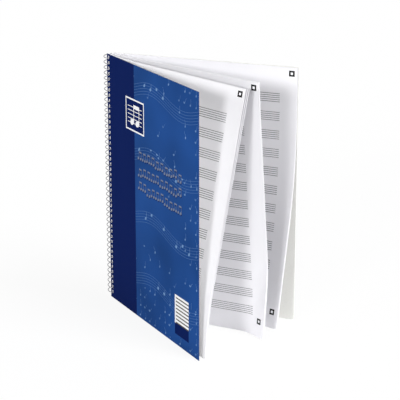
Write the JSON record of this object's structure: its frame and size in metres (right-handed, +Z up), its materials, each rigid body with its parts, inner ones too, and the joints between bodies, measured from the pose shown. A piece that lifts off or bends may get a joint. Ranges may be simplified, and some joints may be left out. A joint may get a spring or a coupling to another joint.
{
  "type": "music writing pad",
  "caption": "Spiral-bound portrait pad of stave paper standing fanned open, with a printed card cover, bundles of bent sheets, a grey back board and a wire coil.",
  "frame": {"origin": "middle of the fan's footprint, on the surface that the lower edges stand on", "axes": "+Z up along the coil, +X from the coil along the back board to its free edge, +Y from the fan to behind the back board"},
  "size_m": [0.2356, 0.1576, 0.2971],
  "materials": {
    "cover_card": "smooth laminated card, printed navy and mid blue",
    "grey_board": "matt uncoated board with fine fibres",
    "wire": "bright drawn wire",
    "paper": "matt white writing paper printed with grey staves"
  },
  "bodies": {
    "back": {"back_board": "grey_board", "spiral_wire": "wire"},
    "rear_leaves": {"sheet_34": "paper", "sheet_35": "paper", "sheet_36": "paper", "sheet_37": "paper", "sheet_38": "paper", "sheet_39": "paper", "sheet_40": "paper", "sheet_41": "paper", "sheet_42": "paper", "sheet_43": "paper", "sheet_44": "paper", "sheet_45": "paper", "sheet_46": "paper", "sheet_47": "paper", "sheet_48": "paper", "sheet_49": "paper", "sheet_50": "paper"},
    "middle_leaves": {"sheet_17": "paper", "sheet_18": "paper", "sheet_19": "paper", "sheet_20": "paper", "sheet_21": "paper", "sheet_22": "paper", "sheet_23": "paper", "sheet_24": "paper", "sheet_25": "paper", "sheet_26": "paper", "sheet_27": "paper", "sheet_28": "paper", "sheet_29": "paper", "sheet_30": "paper", "sheet_31": "paper", "sheet_32": "paper", "sheet_33": "paper"},
    "front_leaves": {"sheet_01": "paper", "sheet_02": "paper", "sheet_03": "paper", "sheet_04": "paper", "sheet_05": "paper", "sheet_06": "paper", "sheet_07": "paper", "sheet_08": "paper", "sheet_09": "paper", "sheet_10": "paper", "sheet_11": "paper", "sheet_12": "paper", "sheet_13": "paper", "sheet_14": "paper", "sheet_15": "paper", "sheet_16": "paper"},
    "cover": {"front_cover": "cover_card"}
  },
  "joints": [
    {"name": "rear_leaves_turn", "type": "hinge", "parent": "back", "child": "rear_leaves", "pos_m": [-0.10977, 0.0708, 0], "axis": [0, 0, -1], "range_deg": [-0.8, 28]},
    {"name": "middle_leaves_turn", "type": "hinge", "parent": "rear_leaves", "child": "middle_leaves", "pos_m": [-0.10977, 0.0708, 0], "axis": [0, 0, -1], "range_deg": [-4, 28]},
    {"name": "front_leaves_turn", "type": "hinge", "parent": "middle_leaves", "child": "front_leaves", "pos_m": [-0.10977, 0.0708, 0], "axis": [0, 0, -1], "range_deg": [-2, 28]},
    {"name": "cover_turn", "type": "hinge", "parent": "front_leaves", "child": "cover", "pos_m": [-0.10977, 0.0708, 0], "axis": [0, 0, -1], "range_deg": [-1.5, 76]}
  ]
}
